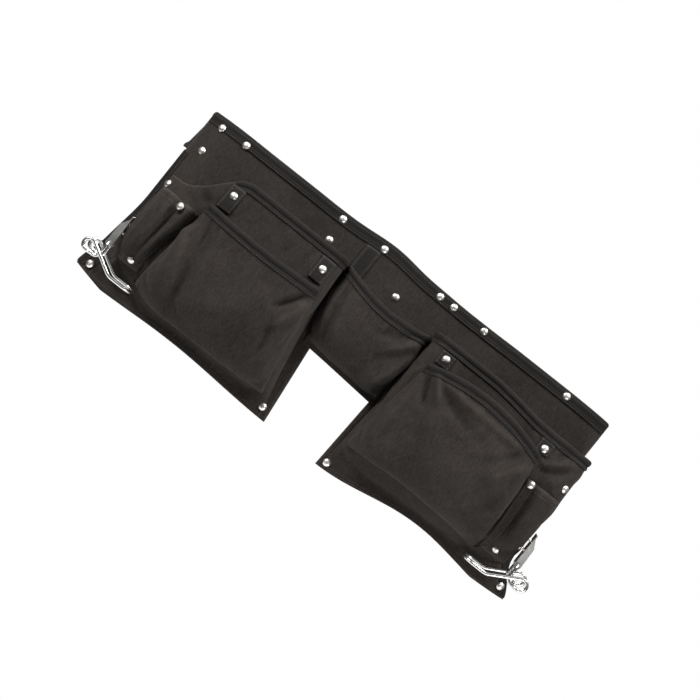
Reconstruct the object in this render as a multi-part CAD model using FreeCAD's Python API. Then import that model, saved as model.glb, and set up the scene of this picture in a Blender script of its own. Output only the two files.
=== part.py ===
import FreeCAD, Part
import math
import os

# Electrician's waist tool pouch: two bucket pouches and a centre pocket sewn to one back panel,
# with a belt tunnel behind the top edge and a wire hammer loop hung at each side.
# Millimetres. +X is to the viewer's right, +Y towards the wearer, +Z up.
# The origin is the middle of the belt tunnel.

Vector = FreeCAD.Vector

# Driving dimensions
TOP_Z = 26.0             # panel's top edge above the tunnel's middle
PANEL_T = 2.4            # doubled panel fabric
SHEET_T = 1.6            # pocket fabric
TAPE_T = 1.0             # binding tape
LAYER_GAP = 0.3          # air between sewn layers
FOOT_T = 0.6             # thin edge of a pocket sheet where it meets its seam
TUNNEL_GAP = 8.0         # clear depth of the belt tunnel
TUNNEL_T = 1.8
TUNNEL_DROP = 54.0       # tunnel strip's height
TUNNEL_PAST = 13.0       # how far its left end stands out past the panel's edge
FLAT_HALF = 214.0        # half of the panel's flat width
WRAP_LENGTH = 73.0       # width of each end that turns back round the hips
WRAP_TOP_DEG = 45.0      # how far each end turns back at the top
WRAP_HEM_DEG = 14.0      # and at the hem
WRAP_EASE = (120.0, 225.0)
FLARE = (8.0, 20.0)      # how far the left and right bottom corners stand out past the sides
FLARE_EASE = (185.0, 230.0)
PANEL_BOTTOM = 250.0
CENTRE_BOTTOM = (142.0, 148.0)   # centre pocket's lower edge, at its left and right ends
LEFT_LEG = (-22.5, -33.5)        # inner edge of the left pouch's panel, at the hem and at the top
RIGHT_LEG = (49.5, 53.5)
LEFT_HEM = (234.0, 2.5)          # mean drop of the hem and its wave
RIGHT_HEM = (228.3, 8.5)
HEM_WAVE_LENGTH = 265.0
CORNER_RISE = (250.0, 0.24)      # beyond this x the hem rises at this slope
BUCKET_DEPTH = 42.0      # how far the pouches stand forward
LEFT_SEAM = -252.5       # x of each pouch's outer seam
RIGHT_SEAM = 268.5
SEAM_FLARE = 24.0        # the seams run out to the panel's corners at the hem
SLOT_LIFT = 12.0         # how far the tool slots stand off the pouch
MOUTH_TAPE = 11.0        # visible width of a pocket mouth's binding
TOP_TAPE = 13.0
TAB_T = 1.1
TAB_LIFT = 0.5           # air behind the tabs
RIVET_R = 4.6
RIVET_DOME = 2.3
POST_R = 1.5
WIRE_R = 2.0
HINGE_RIGHT = (287.0, -33.0, 184.0)   # x, y and drop of the right hammer loop's pivot
HINGE_LEFT = (-271.8, -33.0, 187.0)
LOOP_ROLL_DEG = 4.0      # the loops lean, near arm lower

FRONT_Y = -(TUNNEL_GAP / 2 + PANEL_T)
EDGE_ACROSS = FLAT_HALF + WRAP_LENGTH


# The curved panel

def ease(value):
    """Smooth step from 0 to 1."""
    value = min(1.0, max(0.0, value))
    return value * value * (3 - 2 * value)


def mix(a, b, share):
    return a + (b - a) * share


def wrap_angle(drop):
    """Turn of the panel's end, in radians, at a drop below the top edge."""
    share = ease((drop - WRAP_EASE[0]) / (WRAP_EASE[1] - WRAP_EASE[0]))
    return math.radians(mix(WRAP_TOP_DEG, WRAP_HEM_DEG, share))


def on_panel(across, drop, forward=0.0):
    """Point at a distance across the panel, a drop below its top edge and forward of its face."""
    side = 1.0 if across >= 0 else -1.0
    radius = WRAP_LENGTH / wrap_angle(drop)
    angle = max(0.0, abs(across) - FLAT_HALF) / radius
    x = min(abs(across), FLAT_HALF) + (radius + forward) * math.sin(angle)
    y = FRONT_Y + radius - (radius + forward) * math.cos(angle)
    return Vector(side * x, y, TOP_Z - drop)


def edge_across(drop, side):
    """Flat distance from the panel's middle to its left edge, for a negative side, or its right."""
    share = ease((drop - FLARE_EASE[0]) / (FLARE_EASE[1] - FLARE_EASE[0]))
    return EDGE_ACROSS + FLARE[side > 0] * share


def panel_normal(across, drop):
    return (on_panel(across, drop, 1.0) - on_panel(across, drop, 0.0)).normalize()


def panel_y(x, drop):
    """Y of the panel's face at x; past its edge, the edge's own Y."""
    radius = WRAP_LENGTH / wrap_angle(drop)
    sine = max(0.0, abs(x) - FLAT_HALF) / radius
    edge_angle = (edge_across(drop, x) - FLAT_HALF) / radius
    angle = math.asin(min(sine, math.sin(edge_angle)))
    return FRONT_Y + radius * (1 - math.cos(angle))


def hem_drop(x):
    """Drop of the wavy lower edge of a pouch."""
    inner, (mean, wave) = (LEFT_LEG[0], LEFT_HEM) if x < 0 else (RIGHT_LEG[0], RIGHT_HEM)
    rise_start, slope = CORNER_RISE
    rise = slope * max(0.0, abs(x) - rise_start)
    return mean + wave * math.cos(2 * math.pi * (abs(x) - abs(inner)) / HEM_WAVE_LENGTH) - rise


# Solids from spline surfaces

def clamped_knots(count, degree):
    knots = list(range(count - degree + 1))
    mults = [degree + 1] + [1] * (len(knots) - 2) + [degree + 1]
    return knots, mults


def spline_surface(rows):
    """Clamped spline surface, cubic where it has four poles or more, over a grid of poles."""
    degree_u = min(3, len(rows) - 1)
    degree_v = min(3, len(rows[0]) - 1)
    knots_u, mults_u = clamped_knots(len(rows), degree_u)
    knots_v, mults_v = clamped_knots(len(rows[0]), degree_v)
    surface = Part.BSplineSurface()
    surface.buildFromPolesMultsKnots(rows, mults_u, mults_v, knots_u, knots_v,
                                     False, False, degree_u, degree_v)
    return surface


def closed_solid(faces):
    shell = Part.makeShell(faces)
    shell.sewShape()
    solid = Part.Solid(shell)
    if solid.Volume < 0:
        solid.reverse()
    return solid


def borders(rows):
    return [rows[0], rows[-1], [row[0] for row in rows], [row[-1] for row in rows]]


class Sheet:
    """A sheet of cloth: its front and back surfaces, and the closed solid between them."""

    def __init__(self, front_rows, back_rows):
        self.front = spline_surface(front_rows)
        self.back = spline_surface(back_rows)
        rims = [spline_surface([front, back]).toShape()
                for front, back in zip(borders(front_rows), borders(back_rows))]
        self.solid = closed_solid([self.front.toShape(), self.back.toShape()] + rims)

    def hit(self, x, drop):
        """Front point that a viewer sees at x and a drop, and the outward normal there."""
        z = TOP_Z - drop
        sight = Part.LineSegment(Vector(x, -200, z), Vector(x, 80, z))
        points = [point.toShape().Point for point in sight.intersectCS(self.front)[0]]
        nearest = min(points, key=lambda point: point.y)
        return nearest, self.normal(*self.front.parameter(nearest))

    def normal(self, u, v):
        normal = self.front.normal(u, v)
        return normal if normal.dot(self.front.value(u, v) - self.back.value(u, v)) > 0 else normal * -1


def swept_solid(sections):
    """Solid through matching planar polygons, smooth along their length."""
    count = len(sections[0])
    faces = []
    for corner in range(count):
        following = (corner + 1) % count
        edge_a = [section[corner] for section in sections]
        edge_b = [section[following] for section in sections]
        faces.append(spline_surface([edge_a, edge_b]).toShape())
    for end in (sections[0], sections[-1]):
        faces.append(Part.Face(Part.makePolygon(end + [end[0]])))
    return closed_solid(faces)


def spread(start, end, count):
    return [mix(start, end, i / (count - 1)) for i in range(count)]


# Panel, tunnel and tapes

def back_panel():
    shares = spread(-1.0, 1.0, 45)
    drops = spread(0.0, PANEL_BOTTOM, 13)
    front = [[on_panel(share * edge_across(d, share), d) for share in shares] for d in drops]
    back = [[on_panel(share * edge_across(d, share), d, -PANEL_T) for share in shares] for d in drops]
    solid = Sheet(front, back).solid
    return solid.cut(prism(leg_gap_outline())).cut(prism(below_hem_outline()))


def prism(outline):
    """A cutter through the whole depth, from an outline of (x, drop) points."""
    points = [Vector(x, -60, TOP_Z - drop) for x, drop in outline]
    return Part.Face(Part.makePolygon(points + [points[0]])).extrude(Vector(0, 160, 0))


def leg_gap_outline():
    """The space between the two pouches, below the centre pocket."""
    left_top, right_top = CENTRE_BOTTOM
    return [(LEFT_LEG[1], left_top), (RIGHT_LEG[1], right_top),
            (RIGHT_LEG[0], PANEL_BOTTOM + 10), (LEFT_LEG[0], PANEL_BOTTOM + 10)]


def below_hem_outline():
    """Everything below the wavy hem of both pouches."""
    reach = EDGE_ACROSS + 40
    left = [(x, hem_drop(x)) for x in spread(-reach, LEFT_LEG[0], 25)]
    right = [(x, hem_drop(x)) for x in spread(RIGHT_LEG[0], reach, 25)]
    return left + right + [(reach, PANEL_BOTTOM + 10), (-reach, PANEL_BOTTOM + 10)]


def panel_sweep(across_range, count, corners):
    """Sweep a section of (drop, forward) corners across the panel."""
    return swept_solid([[on_panel(a, drop, forward) for drop, forward in corners]
                        for a in spread(*across_range, count)])


def belt_tunnel():
    """A strip sewn to the panel's back along its top and bottom, open at both ends."""
    near = -(PANEL_T + LAYER_GAP)
    far = -(PANEL_T + TUNNEL_GAP)
    flange, slope = 4.0, 7.5
    inner = [(1.0, near), (flange, near), (slope, far), (TUNNEL_DROP - slope, far),
             (TUNNEL_DROP - flange, near), (TUNNEL_DROP, near)]
    outer = [(drop, forward - TUNNEL_T) for drop, forward in reversed(inner)]
    return panel_sweep((-EDGE_ACROSS - TUNNEL_PAST, EDGE_ACROSS), 45, inner + outer)


def top_binding():
    """Tape folded over the top edges of the panel and the tunnel strip."""
    behind = -(PANEL_T + LAYER_GAP + TUNNEL_T + 0.2)
    return panel_sweep((-EDGE_ACROSS + 1, EDGE_ACROSS - 1), 45, [
        (TOP_TAPE, 0.2), (TOP_TAPE, 0.2 + TAPE_T), (-TAPE_T - 0.3, 0.2 + TAPE_T),
        (-TAPE_T - 0.3, behind - TAPE_T), (3.5, behind - TAPE_T), (3.5, behind),
        (-0.3, behind), (-0.3, 0.2)])


def edge_binding(side):
    """Tape folded round a side edge of the panel, below the top tape."""
    start, end = TUNNEL_DROP + 1.0, hem_drop(side * EDGE_ACROSS) - 1.0
    inner, outer = -9.0, 0.4
    behind = -(PANEL_T + 0.2)
    tape_back = behind - 0.8
    corners = [(inner, 0.2), (outer, 0.2), (outer, behind), (inner, behind),
               (inner, tape_back), (outer + TAPE_T, tape_back),
               (outer + TAPE_T, 0.2 + TAPE_T), (inner, 0.2 + TAPE_T)]
    return swept_solid([[on_panel(side * (edge_across(drop, side) + past), drop, forward)
                         for past, forward in corners] for drop in spread(start, end, 17)])


def centre_strip():
    """Reinforcing strip down the panel behind the centre pocket's left end."""
    corners = [(TOP_TAPE + 0.5, 0.2), (60.0, 0.2), (60.0, 1.3), (TOP_TAPE + 0.5, 1.3)]
    return panel_sweep((-55.0, -37.0), 2, corners)


# Pockets

SOFT_SIDE = ((0.0, 0.0), (0.5, 0.4), (3.0, 0.8), (14.0, 0.98))
FLANK_SIDE = ((0.0, 0.0), (-8.0, 0.1), (-13.0, 0.3), (-14.0, 0.6), (-13.5, 0.84), (-7.0, 0.97), (10.0, 1.0))
FRONT_INSET = 0.16       # the share of a pocket's width at each side that curves back to its seam
FRONT_POLES = 7
BULGE_SHARE = 0.9        # the part of a pocket's height above its flat hem
BULGE = ((0.0, 0.84), (0.12, 0.9), (0.3, 1.0), (0.55, 1.0), (0.76, 0.92), (0.92, 0.55), (1.0, 0.12))


def inset_row(row, base_row, thickness):
    """The back of a pocket's plan row: moved in by the cloth's thickness, clear of the base."""
    back = []
    for i, point in enumerate(row):
        before = row[max(0, i - 1)]
        after = row[min(len(row) - 1, i + 1)]
        along = Vector(after.x - before.x, after.y - before.y, 0).normalize()
        moved = point - Vector(along.y, -along.x, 0) * thickness
        back.append(Vector(moved.x, min(moved.y, base_row[i] - LAYER_GAP), point.z))
    return back


def side_plan(side, full):
    """A side's profile, flattened evenly on to the base as the pocket's depth runs out."""
    return [(mix(2.0 * i, inward, ease(full * 1.6)), part) for i, (inward, part) in enumerate(side)]


def pocket(seams, sides, depth, mouth, end, base, hem=None, flat_front=True):
    """A pocket's sheet, open at the top and sewn down both sides and along the bottom.

    seams gives the left and right seam's x for a share of the height, sides the two side profiles
    as (inward from the seam, share of the depth), mouth and end the drops of the two ends at x,
    base the y of what the pocket is sewn to, and hem the drop that a flat lower edge reaches.
    """
    left_side, right_side = sides
    front_rows, back_rows = [], []
    rows = [(share, None, full) for share, full in BULGE]
    if hem:
        rows += [(1.0, 0.35, 0.0), (1.0, 1.0, 0.0)]
    for share, below, full in rows:
        left_x, right_x = seams(share * BULGE_SHARE if below is None else mix(BULGE_SHARE, 1.0, below))
        plan = [(left_x + inward, part) for inward, part in side_plan(left_side, full)]
        inset = FRONT_INSET * (right_x - left_x)
        plan += [(x, 1.0) for x in spread(left_x + inset, right_x - inset, FRONT_POLES)]
        plan += [(right_x - inward, part) for inward, part in reversed(side_plan(right_side, full))]
        front, bases = [], []
        for x, part in plan:
            drop = mix(mouth(x), end(x), share)
            if below is not None:
                drop = mix(drop, hem(x), below)
            base_y = base(x, drop)
            reach = depth * full + (base_y - FRONT_Y) * full * flat_front
            stand = max(part * max(reach, SHEET_T), FOOT_T)
            front.append(Vector(x, base_y - LAYER_GAP - stand, TOP_Z - drop))
            bases.append(base_y)
        front_rows.append(front)
        back_rows.append(inset_row(front, bases, SHEET_T))
    return Sheet(front_rows, back_rows)


def bend(top, middle, bottom):
    """A seam's x from the mouth through its middle to its lower end."""
    return lambda share: (top * (1 - share) * (1 - 2 * share) + middle * 4 * share * (1 - share)
                          + bottom * share * (2 * share - 1))


def step(x, start, end, low, high):
    return mix(low, high, ease((x - start) / (end - start)))


def seam_flare(share):
    return SEAM_FLARE * ease((share - 0.82) / 0.18)


def left_main_pocket():
    inner = bend(-58.0, -50.0, -30.0)
    return pocket(
        seams=lambda share: (LEFT_SEAM - seam_flare(share), inner(share)), sides=(FLANK_SIDE, SOFT_SIDE),
        depth=BUCKET_DEPTH, base=panel_y, hem=lambda x: hem_drop(x) - 0.5,
        mouth=lambda x: step(x, -232.0, -208.0, 87.0, 42.0),
        end=lambda x: step(x, -250.0, -205.0, 197.0, 214.0))


def right_main_pocket():
    inner = bend(66.0, 62.0, 55.0)
    return pocket(
        seams=lambda share: (inner(share), RIGHT_SEAM + seam_flare(share)), sides=(SOFT_SIDE, FLANK_SIDE),
        depth=BUCKET_DEPTH, base=panel_y, hem=lambda x: hem_drop(x) - 0.5,
        mouth=lambda x: 41.0 + 8.0 * ease((x - 150.0) / 70.0),
        end=lambda x: step(x, 205.0, 250.0, 206.0, 197.0))


def centre_pocket():
    left = bend(-55.0, -50.0, -44.0)
    right = bend(62.0, 60.0, 58.0)

    def mouth(x):
        return mix(44.0, 51.0, (x + 55.0) / 117.0) + 9.0 * math.cos(math.pi * (x - 4.0) / 120.0)

    def bottom(x):
        return mix(*CENTRE_BOTTOM, (x + 48.0) / 108.0)

    return pocket(
        seams=lambda share: (left(share), right(share)), sides=(SOFT_SIDE, SOFT_SIDE),
        depth=30.0, base=panel_y, mouth=mouth, end=lambda x: bottom(x) - 7.0,
        hem=lambda x: bottom(x) - 0.5)


def left_front_pocket(main):
    left = bend(-211.0, -219.0, -228.0)
    right = bend(-63.0, -54.0, -40.0)
    return pocket(
        seams=lambda share: (left(share), right(share)), sides=(SOFT_SIDE, SOFT_SIDE),
        depth=26.0, base=lambda x, drop: main.hit(x, drop)[0].y, flat_front=False,
        mouth=lambda x: 87.0 + 3.0 * math.cos(math.pi * (x + 137.0) / 150.0),
        end=lambda x: 213.0 - 2.0 * (x + 135.0) / 100.0)


def right_front_pocket(main):
    left = bend(78.0, 68.0, 60.0)
    right = bend(231.0, 238.0, 241.0)
    return pocket(
        seams=lambda share: (left(share), right(share)), sides=(SOFT_SIDE, SOFT_SIDE),
        depth=26.0, base=lambda x, drop: main.hit(x, drop)[0].y, flat_front=False,
        mouth=lambda x: 63.0 + 15.0 * ((x - 150.0) / 80.0) ** 2,
        end=lambda x: 192.0 + 6.0 * ((x - 140.0) / 90.0) ** 2)


def param_at_drop(sheet, across, drop):
    """The surface's parameter along its height where it reaches a drop."""
    low, high, _, _ = sheet.front.bounds()
    for _ in range(40):
        middle = (low + high) / 2
        if TOP_Z - sheet.front.value(middle, across).z < drop:
            low = middle
        else:
            high = middle
    return low


def laid_on(sheet, edges, drop_range, counts, lift):
    """A sheet laid over part of another one.

    edges gives the left and right x at a drop, and lift how far the sheet stands off at a share
    of its width and of its height.
    """
    across_count, drop_count = counts
    front, back = [], []
    for down in spread(0.0, 1.0, drop_count):
        drop = mix(*drop_range, down)
        ends = [sheet.front.parameter(sheet.hit(x, drop)[0])[1] for x in edges(drop)]
        front_row, back_row = [], []
        for share in spread(0.0, 1.0, across_count):
            across = mix(*ends, share)
            u = param_at_drop(sheet, across, drop)
            point, normal = sheet.front.value(u, across), sheet.normal(u, across)
            stand = 2 * LAYER_GAP + lift(share, down)
            front_row.append(point + normal * (stand + SHEET_T))
            back_row.append(point + normal * stand)
        front.append(front_row)
        back.append(back_row)
    return Sheet(front, back)


def tool_slots(main, edges, humps):
    """Slots on a pouch's outer corner: the sheet stands off in humps, given as (start, end) shares of
    its width, and is sewn flat between them and along the bottom."""
    def lift(share, down):
        for start, end in humps:
            if start < share < end:
                return SLOT_LIFT * math.sin(math.pi * (share - start) / (end - start)) ** 0.6 * (1 - down ** 4)
        return 0.0

    return laid_on(main, edges, (104.0, 193.0), (22, 7), lift)


def tab(main, x, top, bottom, width=17.0):
    """A strip on a pouch's wall that holds the front pocket's corner up to the mouth's tape."""
    front, back = [], []
    for drop in spread(top, bottom, 4):
        hits = [main.hit(x + offset, drop) for offset in spread(-width / 2, width / 2, 7)]
        front.append([point + normal * (TAB_LIFT + TAB_T) for point, normal in hits])
        back.append([point + normal * TAB_LIFT for point, normal in hits])
    return Sheet(front, back)


def mouth_binding(sheet, share_range=(0.03, 0.97), count=61):
    """Tape folded over a pocket's mouth."""
    top, below, left, right = sheet.front.bounds()
    sections = []
    for share in spread(*share_range, count):
        v = mix(left, right, share)
        front, back = sheet.front.value(top, v), sheet.back.value(top, v)
        out = front - back
        thickness = out.Length
        out.normalize()
        down = (sheet.front.value(mix(top, below, 0.05), v) - front).normalize()
        corners = [(0.15, MOUTH_TAPE), (0.15 + TAPE_T, MOUTH_TAPE), (0.15 + TAPE_T, -0.2 - TAPE_T),
                   (-thickness - 0.15 - TAPE_T, -0.2 - TAPE_T), (-thickness - 0.15 - TAPE_T, MOUTH_TAPE),
                   (-thickness - 0.15, MOUTH_TAPE), (-thickness - 0.15, -0.2), (0.15, -0.2)]
        sections.append([front + out * a + down * b for a, b in corners])
    return swept_solid(sections)


# Rivets

def rivet(point, normal, grip):
    """Domed cap, post and flat back cap; the cap's underside is at point and grip is the cloth's depth."""
    rim = Vector(RIVET_R, 0, 0)
    arc = Part.Arc(Vector(0, 0, RIVET_DOME), Vector(RIVET_R * 0.72, 0, RIVET_DOME * 0.66), rim)
    corners = [rim, Vector(POST_R, 0, 0), Vector(POST_R, 0, -grip), Vector(RIVET_R - 0.8, 0, -grip),
               Vector(RIVET_R - 0.8, 0, -grip - 0.9), Vector(0, 0, -grip - 0.9), Vector(0, 0, RIVET_DOME)]
    outline = Part.Wire([arc.toShape()] + [Part.makeLine(a, b) for a, b in zip(corners, corners[1:])])
    solid = Part.Face(outline).revolve(Vector(0, 0, 0), Vector(0, 0, 1), 360)
    turn = FreeCAD.Rotation(Vector(0, 0, 1), normal)
    return solid.transformGeometry(FreeCAD.Placement(point, turn).toMatrix())


def across_for(x, drop):
    """Distance across the panel at which its face reaches x."""
    radius = WRAP_LENGTH / wrap_angle(drop)
    past = max(0.0, abs(x) - FLAT_HALF) / radius
    return math.copysign(min(abs(x), FLAT_HALF) + radius * math.asin(min(1.0, past)), x)


def panel_rivets(places, lift, grip):
    """Rivets through the panel, their caps lifted by the layers in front of it."""
    solids = []
    for x, drop in places:
        across = across_for(x, drop)
        solids.append(rivet(on_panel(across, drop, lift), panel_normal(across, drop), grip))
    return Part.makeCompound(solids)


def pocket_rivets(places, lift):
    """Rivets through pocket walls: each place is a sheet, x and drop."""
    solids = []
    for sheet, x, drop in places:
        point, normal = sheet.hit(x, drop)
        solids.append(rivet(point + normal * lift, normal, lift + SHEET_T + 0.2))
    return Part.makeCompound(solids)


# Hammer loops: all made for the right side about a pivot at the origin, then placed

BAR_HALF = 12.5          # half the length of the pivot bar, to the legs' middles
ARM_HALF = 17.0          # half the distance between the arms
LEG_LENGTH = 13.5
EYE_R = 6.5
EYE_FLAT = 8.0
RAMP_DEG = 30.0
RAMP_LENGTH = 39.0
ARM_FLAT = 28.0
BORE_R = WIRE_R + 0.3    # the hanger's holes for the pivot bar
HANGER_T = 1.2
HANGER_HALF = 9.0        # half the hanger's width
HANGER_BACK = -4.0       # its back face, from the pivot
HANGER_HEIGHT = 38.0
HANGER_RIVETS = (17.0, 29.0)   # heights above the pivot
HANGER_GRIP = 6.2


def filleted(points, radii):
    """Wire through points with a tangent arc of the given radius at each inner one."""
    edges = []
    start = points[0]
    for before, corner, after, radius in zip(points, points[1:], points[2:], radii):
        into, out = (before - corner).normalize(), (after - corner).normalize()
        half = into.getAngle(out) / 2
        cut = radius / math.tan(half)
        centre = corner + (into + out).normalize() * (radius / math.sin(half))
        middle = centre + (corner - centre).normalize() * radius
        edges.append(Part.makeLine(start, corner + into * cut))
        edges.append(Part.Arc(corner + into * cut, middle, corner + out * cut).toShape())
        start = corner + out * cut
    edges.append(Part.makeLine(start, points[-1]))
    return edges


def loop_path():
    """Middle of the wire from the pivot bar's middle to the tip's middle, on the far side (+Y)."""
    ramp = math.radians(RAMP_DEG)
    low = -LEG_LENGTH - EYE_R
    eye_x = EYE_R + EYE_FLAT
    top = Vector(eye_x - EYE_R * math.sin(ramp), ARM_HALF, -LEG_LENGTH + EYE_R * math.cos(ramp))
    elbow = top - Vector(math.cos(ramp), 0, math.sin(ramp)) * RAMP_LENGTH
    bar = filleted([Vector(0, 0, 0), Vector(0, BAR_HALF, 0), Vector(0, BAR_HALF, -LEG_LENGTH)], [3.5])
    heel = Part.Arc(Vector(0, BAR_HALF, -LEG_LENGTH),
                    Vector(EYE_R * (1 - math.cos(math.pi / 4)), BAR_HALF, -LEG_LENGTH - EYE_R * math.sin(math.pi / 4)),
                    Vector(EYE_R, BAR_HALF, low)).toShape()
    shift_start = Vector(EYE_R, BAR_HALF, low)
    shift_end = Vector(eye_x, ARM_HALF, low)
    cross = Part.BezierCurve()
    cross.setPoles([shift_start, shift_start + Vector(EYE_FLAT * 0.45, 0, 0),
                    shift_end - Vector(EYE_FLAT * 0.45, 0, 0), shift_end])
    mid_angle = (math.pi / 2 + ramp - math.pi / 2) / 2
    eye = Part.Arc(shift_end,
                   Vector(eye_x + EYE_R * math.cos(mid_angle), ARM_HALF, -LEG_LENGTH + EYE_R * math.sin(mid_angle)),
                   top).toShape()
    tip_corner = elbow + Vector(-ARM_FLAT, 0, 0)
    arm = filleted([top, elbow, tip_corner, Vector(tip_corner.x, 0, tip_corner.z)], [14.0, 11.0])
    return Part.Wire(bar + [heel, cross.toShape(), eye] + arm)


def hammer_loop():
    """One closed wire: pivot bar, two legs, a curl on each side, and two arms joined at the tip."""
    path = loop_path()
    start = Part.Wire(Part.makeCircle(WIRE_R, Vector(0, 0, 0), Vector(0, 1, 0)))
    half = path.makePipeShell([start], True, False)
    return half.fuse(half.mirror(Vector(0, 0, 0), Vector(0, 1, 0))).removeSplitter()


def loop_hanger():
    """Pressed channel: a back plate, and two side walls with holes that hold the pivot bar."""
    outline = [Vector(HANGER_BACK, -HANGER_HALF, 0), Vector(-HANGER_BACK, -HANGER_HALF, 0),
               Vector(3.0, -HANGER_HALF, 24.0), Vector(HANGER_BACK + HANGER_T, -HANGER_HALF, 34.0),
               Vector(HANGER_BACK, -HANGER_HALF, HANGER_HEIGHT)]
    wall = Part.Face(Part.makePolygon(outline + [outline[0]])).extrude(Vector(0, HANGER_T, 0))
    foot = Part.makeCylinder(-HANGER_BACK, HANGER_T, Vector(0, -HANGER_HALF, 0), Vector(0, 1, 0))
    wall = wall.fuse(foot)
    back = Part.makeBox(HANGER_T, 2 * HANGER_HALF, HANGER_HEIGHT, Vector(HANGER_BACK, -HANGER_HALF, 0))
    bore = Part.makeCylinder(BORE_R, 2 * HANGER_HALF + 2, Vector(0, -HANGER_HALF - 1, 0), Vector(0, 1, 0))
    far_wall = wall.mirror(Vector(0, 0, 0), Vector(0, 1, 0))
    return back.fuse([wall, far_wall]).cut(bore).removeSplitter()


def hanger_rivets():
    """The two rivets that hold the hanger's back plate to the pouch's side."""
    face = HANGER_BACK + HANGER_T + 0.05
    return Part.makeCompound([rivet(Vector(face, 0, height), Vector(1, 0, 0), HANGER_GRIP)
                              for height in HANGER_RIVETS])


def placed(shape, hinge, side):
    """Lean a right-hand piece, mirror it for the left, and move it to its pivot."""
    shape = shape.copy()
    if side < 0:
        shape = shape.mirror(Vector(0, 0, 0), Vector(1, 0, 0))
    shape.rotate(Vector(0, 0, 0), Vector(1, 0, 0), LOOP_ROLL_DEG)
    x, y, drop = hinge
    shape.translate(Vector(x, y, TOP_Z - drop))
    return shape


# Assembly

TOP_ROW = ((-260, 13), (-226, 12), (-93, 9), (-37, 6.5), (43, 9), (62, 9), (104, 9), (219, 8))
TUNNEL_ROW = ((-263, 46), (-91, 36), (5, 40))
LEFT_CORNERS = ((-280, 220), (-34, 224))
RIGHT_CORNERS = ((59, 228), (293, 216))


def fabric_parts(sheets):
    left, right = sheets["left_main_pocket"], sheets["right_main_pocket"]
    parts = {name: sheet.solid for name, sheet in sheets.items()}
    parts["back_panel"] = back_panel()
    parts["belt_tunnel"] = belt_tunnel()
    parts["top_binding"] = top_binding()
    parts["left_edge_binding"] = edge_binding(-1)
    parts["right_edge_binding"] = edge_binding(1)
    parts["centre_strip"] = centre_strip()
    parts["left_main_binding"] = mouth_binding(left, (0.5, 0.98))
    parts["right_main_binding"] = mouth_binding(right)
    for name in ("left_front", "right_front", "centre"):
        parts[name + "_binding"] = mouth_binding(sheets[name + "_pocket"])
    return parts


def rivet_parts(sheets):
    left, right = sheets["left_main_pocket"], sheets["right_main_pocket"]
    tape = 0.2 + TAPE_T + 0.05
    hem = LAYER_GAP + SHEET_T + 0.05
    return {
        "top_rivets": panel_rivets(TOP_ROW, tape, tape + PANEL_T + 0.1),
        "tunnel_rivets": panel_rivets(TUNNEL_ROW, 0.05, PANEL_T + 0.15),
        "corner_rivets": panel_rivets(LEFT_CORNERS + RIGHT_CORNERS, hem, hem + PANEL_T + 0.1),
        "tab_rivets": pocket_rivets([(left, -198, 65), (left, -75, 67), (right, 89, 60), (right, 231, 69)],
                                    TAB_LIFT + TAB_T + 0.05),
        "side_rivets": pocket_rivets([(left, -263, 98), (right, 276, 89)], 0.05),
        "slot_rivets": pocket_rivets([(sheets["left_tool_slots"], -235, 109),
                                      (sheets["left_tool_slots"], -243, 188),
                                      (sheets["right_tool_slots"], 243, 108),
                                      (sheets["right_tool_slots"], 260, 187)], 0.05)}


def loop_parts():
    parts = {}
    for name, hinge, side in (("left", HINGE_LEFT, -1), ("right", HINGE_RIGHT, 1)):
        parts[name + "_hammer_loop"] = placed(hammer_loop(), hinge, side)
        parts[name + "_loop_hanger"] = placed(loop_hanger(), hinge, side)
        parts[name + "_hanger_rivets"] = placed(hanger_rivets(), hinge, side)
    return parts


def main():
    left, right = left_main_pocket(), right_main_pocket()
    sheets = {
        "left_main_pocket": left,
        "right_main_pocket": right,
        "centre_pocket": centre_pocket(),
        "left_front_pocket": left_front_pocket(left),
        "right_front_pocket": right_front_pocket(right),
        "left_tool_slots": tool_slots(left, lambda drop: (-262, step(drop, 100, 190, -215, -230)),
                                      ((0.0, 0.58), (0.58, 1.0))),
        "right_tool_slots": tool_slots(right, lambda drop: (step(drop, 100, 190, 237, 243), 277.5),
                                       ((0.2, 1.0),)),
        "left_outer_tab": tab(left, -198, 54, 84),
        "left_inner_tab": tab(left, -75, 54, 82),
        "right_inner_tab": tab(right, 89, 53, 69),
        "right_outer_tab": tab(right, 230, 60, 75)}
    parts = {**fabric_parts(sheets), **rivet_parts(sheets), **loop_parts()}
    os.makedirs("parts", exist_ok=True)
    for name, shape in parts.items():
        shape.exportStep(os.path.join("parts", name + ".step"))
        print(name, shape.isValid(), round(shape.Volume), shape.BoundBox)


main()
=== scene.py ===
"""Looks of the electrician's tool pouch: sewn cloth, tapes, stitches and bright hardware.

Lengths are in millimetres until a mesh is made. +X is to the viewer's right, +Y towards the wearer and
+Z up; a drop is the distance below the panel's top edge.
"""

import math

import bmesh
import bpy
import numpy as np
from mathutils import Matrix, Vector, noise


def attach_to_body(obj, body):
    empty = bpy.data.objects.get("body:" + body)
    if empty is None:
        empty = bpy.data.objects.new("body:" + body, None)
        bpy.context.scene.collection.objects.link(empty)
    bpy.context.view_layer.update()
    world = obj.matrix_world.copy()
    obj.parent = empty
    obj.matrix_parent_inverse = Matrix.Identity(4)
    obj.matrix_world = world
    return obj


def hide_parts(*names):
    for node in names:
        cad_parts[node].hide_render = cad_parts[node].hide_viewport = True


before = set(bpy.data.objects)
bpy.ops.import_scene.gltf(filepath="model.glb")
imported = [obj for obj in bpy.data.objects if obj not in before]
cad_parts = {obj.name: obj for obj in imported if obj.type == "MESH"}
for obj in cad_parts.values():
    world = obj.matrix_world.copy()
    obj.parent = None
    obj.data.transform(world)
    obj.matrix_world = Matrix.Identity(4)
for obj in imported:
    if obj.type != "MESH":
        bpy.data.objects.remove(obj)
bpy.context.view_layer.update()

MM = 0.001

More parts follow.
